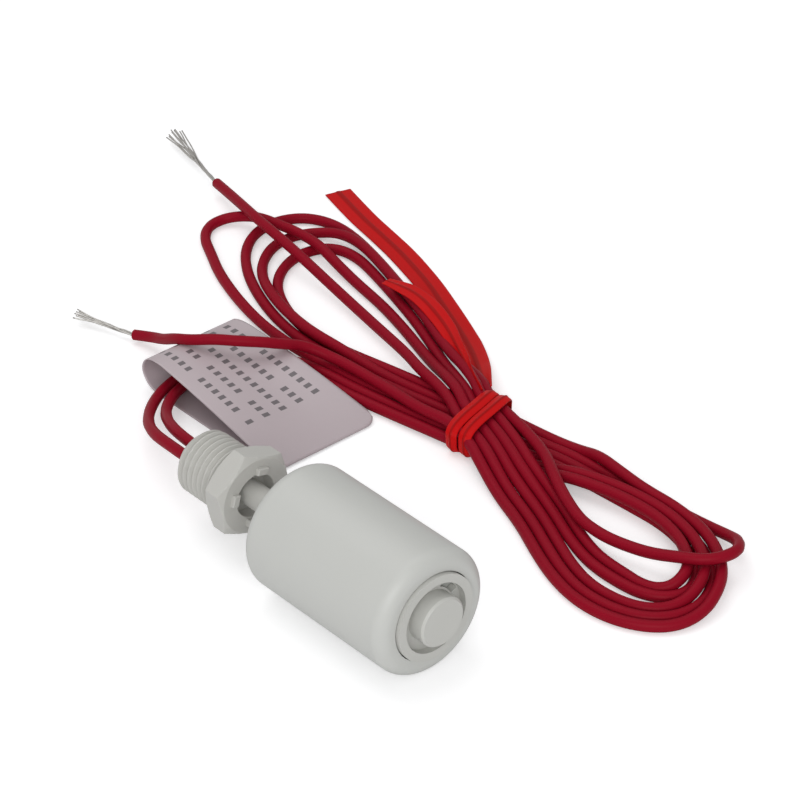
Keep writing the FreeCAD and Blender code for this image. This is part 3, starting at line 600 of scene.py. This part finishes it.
def ribbon(name, line, flat, width, node, bulge=0.0):
    # a flat strip carried along line: section = width * flat direction and a bead of the core's
    # height in the middle, arched outwards by bulge * (1 - u * u) for u from -1 to 1 across it;
    # flat is the strip's width direction at each station
    line, flat = np.array(line, float), np.array(flat, float)
    step = np.gradient(line, axis=0)
    step /= np.linalg.norm(step, axis=1, keepdims=True)
    flat = flat - step * np.sum(flat * step, axis=1, keepdims=True)
    flat /= np.linalg.norm(flat, axis=1, keepdims=True)
    out = np.cross(step, flat)
    u = np.array([-1, -0.97, -0.8, -0.6, -0.24, -0.12, 0, 0.12, 0.24, 0.6, 0.8, 0.97, 1])
    h = np.array([0.02, 0.10, 0.11, 0.10, 0.12, 0.22, 0.28, 0.22, 0.12, 0.10, 0.11, 0.10, 0.02])
    half = np.broadcast_to(np.asarray(width, float) / 2, len(line))[:, None, None]
    us = np.concatenate([u, u[::-1]])
    hs = np.concatenate([h, -h[::-1]]) + bulge * (1 - us * us)
    skin = line[:, None] + half * us[None, :, None] * flat[:, None] + hs[None, :, None] * out[:, None]
    piece = gridTubes(name, skin[None] * mm, tiePlastic, True)
    piece.data.attributes.new("lengthwise", "FLOAT", "POINT").data.foreach_set(
        "value", np.tile(us, len(line)).astype(np.float32))
    if node:
        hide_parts(node)
    return piece


def smoothLine(corners, count):
    # count places at even steps along the smooth spline through the corners' control points
    points, run = splinePoints(corners)
    s = np.linspace(0, run[-1], count)
    return np.stack([np.interp(s, run, points[:, i]) for i in range(3)], axis=1)


def tieWraps():
    # round the waist: an oblong loop, x = a cos(t)^0.5 along the tie's line and z = b sin(t)^0.5,
    # stepping pitch along the wires at each turn; the strip is rolled a little and narrows at the sides
    foot, step = np.array(hank["tieFoot"]), np.array(hank["tieStep"])
    middle = foot + step * 2.5
    across = step / np.linalg.norm(step)
    normal = np.array([across[1], -across[0]])
    turn = np.linspace(-0.5 * np.pi, (2 * tie["turns"] - 0.5) * np.pi, 260)
    co, si = np.cos(turn), np.sin(turn)
    x = tie["reach"] * np.sign(co) * np.abs(co) ** 0.5
    z = (tie["low"] + tie["high"]) / 2 + (tie["high"] - tie["low"]) / 2 * np.sign(si) * np.abs(si) ** 0.5
    shift = tie["pitch"] * ((turn - turn[0]) / (2 * np.pi) - tie["turns"] / 2)
    line = np.stack([middle[0] + across[0] * x + normal[0] * shift,
                     middle[1] + across[1] * x + normal[1] * shift, z], axis=1)
    roll = 0.07 * np.sin(2.3 * turn + 0.6)
    outward = np.stack([across[0] * co, across[1] * co, si], axis=1)
    flat = np.array([normal[0], normal[1], 0.0]) * np.cos(roll)[:, None] + outward * np.sin(roll)[:, None]
    width = tie["wrapWidth"] * (0.95 + 0.05 * np.sin(1.7 * turn))
    return ribbon("tieWraps", line, flat, width, None, 0.35)


def tieStrip(name, corners, width, roll, wave, node):
    # a free end of the tie: flat on its line, rolled by the angle roll(t) and waving slightly
    line = smoothLine(corners, 200)
    way = np.gradient(line, axis=0)
    flat = np.cross(np.broadcast_to((0.0, 0.0, 1.0), way.shape), way)
    flat /= np.linalg.norm(flat, axis=1, keepdims=True)
    t = np.linspace(0, 1, len(line))
    angle = np.interp(t, *zip(*roll)) + wave * np.sin(23 * t) * t
    flat = flat * np.cos(angle)[:, None] + np.array((0.0, 0.0, 1.0)) * np.sin(angle)[:, None]
    size = np.interp(t, *zip(*width))
    # a rolled strip stands on its edge, so its middle is lifted clear of the floor
    line[:, 2] = np.maximum(line[:, 2], size / 2 * np.abs(np.sin(angle)) + 0.3)
    return ribbon(name, line, flat, size, node)


wraps = tieWraps()
tieTail = tieStrip("tieTail", tie["tail"], [(0, 6.2), (0.75, 6.0), (0.9, 4.8), (1, 3.4)],
                   [(0, 0), (0.7, 0.0), (0.86, 0.2), (1, 0.8)], 0.04, "twist_tie")
tieSpare = tieStrip("tieSpare", tie["spare"], [(0, 3.0), (0.12, 4.2), (0.5, 3.6), (0.8, 2.4), (1, 2.0)],
                    [(0, -0.1), (0.3, 0.25), (0.6, 0.7), (1, 1.9)], 0.18, None)
print("tie made")


# ---- stem with its pipe thread, in place of the plain cylinder ----

stemForm = {"tip": -34.0, "axis": 12.7, "thread": 11.3, "crest": 6.6, "root": 5.85, "tipRadius": 5.75,
            "leadIn": 1.3, "pitch": 1.41, "flankEnd": 0.82, "flank": 0.62, "bevelSlope": 1.732,
            "flats": 15.875, "face": 16.3, "turn": 40.0, "bevel": 7.6, "pocket": 4.4,
            "pocketDepth": 3.0, "tube": 2.5, "length": 66.6, "well": 4.0, "wellDepth": 11.5, "bore": 1.5,
            "boreDepth": 46.0, "sides": 144,
            "lugs": 4, "lugTurn": 75.0, "lugInner": 4.6, "lugOuter": 6.0, "lugWidth": 2.4, "lugHeight": 0.9,
            "lugDraw": 0.12}


def stemPoint(x, radius, angle):
    # a point x along the stem from its tip: (tip + x, radius cos(angle), axis + radius sin(angle))
    f = stemForm
    across, up = radius * np.cos(angle), f["axis"] + radius * np.sin(angle)
    return np.stack(np.broadcast_arrays(f["tip"] + x, across, up), axis=-1)


def stemSkin():
    # one profile turned about the axis, from the bore round the outside to the tube's end. Thread:
    # radius = root + (crest - root) clip((flankEnd - d) / flank, 0, 1), where
    # d = |2 fract(x / pitch - angle / 2 pi) - 1|. Hexagon: radius = least of
    # flats / 2 / cos(angle from the middle of the flat) and bevel + bevelSlope * depth
    f = stemForm
    angle = np.pi - np.linspace(0, 2 * np.pi, f["sides"], endpoint=False)
    rings = [stemPoint(x, radius, angle) for x, radius in (
        (f["boreDepth"], f["bore"]), (f["wellDepth"], f["bore"]), (f["wellDepth"], f["well"]),
        (0.25, f["well"]), (0.0, f["well"] + 0.25))]
    along = np.linspace(0, f["thread"], 130)
    phase = along[:, None] / f["pitch"] - angle[None, :] / (2 * np.pi)
    d = np.abs(2 * (phase - np.floor(phase)) - 1)
    radius = f["root"] + (f["crest"] - f["root"]) * np.clip((f["flankEnd"] - d) / f["flank"], 0, 1)
    start = f["tipRadius"] - 0.35 + along / f["leadIn"] * (f["crest"] - f["tipRadius"] + 0.35)
    radius = np.minimum(radius, start[:, None])
    rings += list(stemPoint(along[:, None], radius, angle[None, :]))
    flat = f["flats"] / 2 / np.cos(np.mod(angle - math.radians(f["turn"]), np.pi / 3) - np.pi / 6)
    depth = np.array([0, 0.15, 0.3, 0.45, 0.6, 0.75, 0.9, 1.1])
    x = np.concatenate([f["thread"] + depth, [(f["thread"] + f["face"]) / 2], f["face"] - depth[::-1]])
    near = np.minimum(x - f["thread"], f["face"] - x)
    hexagon = np.minimum(flat[None, :], f["bevel"] + f["bevelSlope"] * near[:, None])
    rings += list(stemPoint(x[:, None], hexagon, angle[None, :]))
    rings += [stemPoint(x, radius, angle) for x, radius in (
        (f["face"], f["pocket"] + 0.15), (f["face"] - 0.15, f["pocket"]),
        (f["face"] - f["pocketDepth"], f["pocket"]),
        (f["face"] - f["pocketDepth"], f["tube"]), (f["length"], f["tube"]))]
    return np.array(rings)


def lugSkins():
    # small blocks on the hexagon's face, each drawn in by lugDraw at its top; corner (u, v) of a block
    # turned by a lies at (u cos a - v sin a, u sin a + v cos a)
    f = stemForm
    skins = []
    for k in range(f["lugs"]):
        a = math.radians(f["lugTurn"]) + 2 * math.pi * k / f["lugs"]
        rings = []
        for x, draw in ((f["face"] - 0.1, 0.0), (f["face"] + f["lugHeight"] - 0.15, 0.0),
                        (f["face"] + f["lugHeight"], f["lugDraw"])):
            w, low, high = f["lugWidth"] / 2 - draw, f["lugInner"] + draw, f["lugOuter"] - draw
            corners = [(low, w), (high, w), (high, -w), (low, -w)]
            rings.append([(f["tip"] + x, u * math.cos(a) - v * math.sin(a),
                           f["axis"] + u * math.sin(a) + v * math.cos(a)) for u, v in corners])
        skins.append(rings)
    return np.array(skins)


stemPiece = gridTubes("stemThreaded", stemSkin()[None] * mm, stemPlastic, True)
lugPiece = gridTubes("stemLugs", lugSkins() * mm, stemPlastic, True)
for piece in (stemPiece, lugPiece):
    piece.data.set_sharp_from_angle(angle=math.radians(28))
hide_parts("stem_body")
print("stem threaded")


# ---- floor, light and camera ----

stageForm = {"floorHalf": 3.0, "glow": 0.36, "world": 0.49, "aim": (-0.03, 0.04, 0),
             "key": {"place": (-0.35, 0.05, 0.85), "width": 0.7, "height": 0.7, "power": 2.1},
             "fill": {"place": (0.7, -0.7, 0.6), "width": 0.9, "height": 0.6, "power": 6.3}}


def floorMaterial():
    # pale grey floor lit by the lamps; to the camera alone its own light is added, which brings the
    # open floor to white and keeps a faint shadow under the piece
    material = bpy.data.materials.new("paleFloor")
    material.use_nodes = True
    n, link = material.node_tree.nodes, material.node_tree.links.new
    shader = n["Principled BSDF"]
    shader.inputs["Base Color"].default_value = (0.86, 0.86, 0.87, 1)
    shader.inputs["Roughness"].default_value = 0.9
    shader.inputs["Specular IOR Level"].default_value = 0.1
    view = n.new("ShaderNodeLightPath")
    glow = n.new("ShaderNodeMath")
    glow.operation = "MULTIPLY"
    glow.inputs[1].default_value = stageForm["glow"]
    link(view.outputs["Is Camera Ray"], glow.inputs[0])
    shader.inputs["Emission Color"].default_value = (1, 1, 1, 1)
    link(glow.outputs[0], shader.inputs["Emission Strength"])
    return material


size = stageForm["floorHalf"]
floorMesh = bpy.data.meshes.new("floorSheet")
floorMesh.from_pydata([(-size, -size, 0), (size, -size, 0), (size, size, 0), (-size, size, 0)], [],
                      [(0, 1, 2, 3)])
floorMesh.materials.append(floorMaterial())
floorSheet = bpy.data.objects.new("floorSheet", floorMesh)
scene.collection.objects.link(floorSheet)


def areaLight(name, target, place, width, height, power):
    # a soft rectangular lamp at place, turned so that its -Z points at the target
    light = bpy.data.lights.new(name, "AREA")
    light.shape = "RECTANGLE"
    light.size, light.size_y = width, height
    light.energy = power
    lamp = bpy.data.objects.new(name, light)
    lamp.location = place
    lamp.rotation_euler = (Vector(target) - Vector(place)).to_track_quat("-Z", "Y").to_euler()
    scene.collection.objects.link(lamp)


areaLight("keyLight", stageForm["aim"], **stageForm["key"])
areaLight("fillLight", stageForm["aim"], **stageForm["fill"])

world = bpy.data.worlds.new("studio")
world.use_nodes = True
background = world.node_tree.nodes["Background"]
background.inputs["Color"].default_value = (1, 1, 1, 1)
background.inputs["Strength"].default_value = stageForm["world"]
scene.world = world

cameraForm = {"elevation": 33.767, "azimuth": 48.322, "distance": 600.0, "focal": 3291.3,
              "target": (-1.0, 0.0, 12.7), "across": -85.665, "down": 135.359,
              "frame": 800, "sensor": 36}   # focal, across and down are in frame units, the sensor in mm


def makeCamera():
    # looks along -back from target + back * distance, moved sideways and up so that the target
    # stands off the middle of the view by (across, down) / focal of the distance
    e, a = math.radians(cameraForm["elevation"]), math.radians(cameraForm["azimuth"])
    back = Vector((math.sin(a) * math.cos(e), -math.cos(a) * math.cos(e), math.sin(e)))
    right = Vector((math.cos(a), math.sin(a), 0))
    up = back.cross(right)
    d, f = cameraForm["distance"], cameraForm["focal"]
    place = (Vector(cameraForm["target"]) + back * d - right * (cameraForm["across"] / f * d)
             + up * (cameraForm["down"] / f * d))
    lens = bpy.data.cameras.new("camera")
    lens.lens = f / cameraForm["frame"] * cameraForm["sensor"]
    lens.clip_start = 0.01
    lens.clip_end = 20
    camera = bpy.data.objects.new("camera", lens)
    turn = Matrix((right, up, back)).transposed()
    camera.matrix_world = Matrix.Translation(place * mm) @ turn.to_4x4()
    scene.collection.objects.link(camera)
    scene.camera = camera


makeCamera()
scene.view_settings.view_transform = "Standard"
print("stage set")
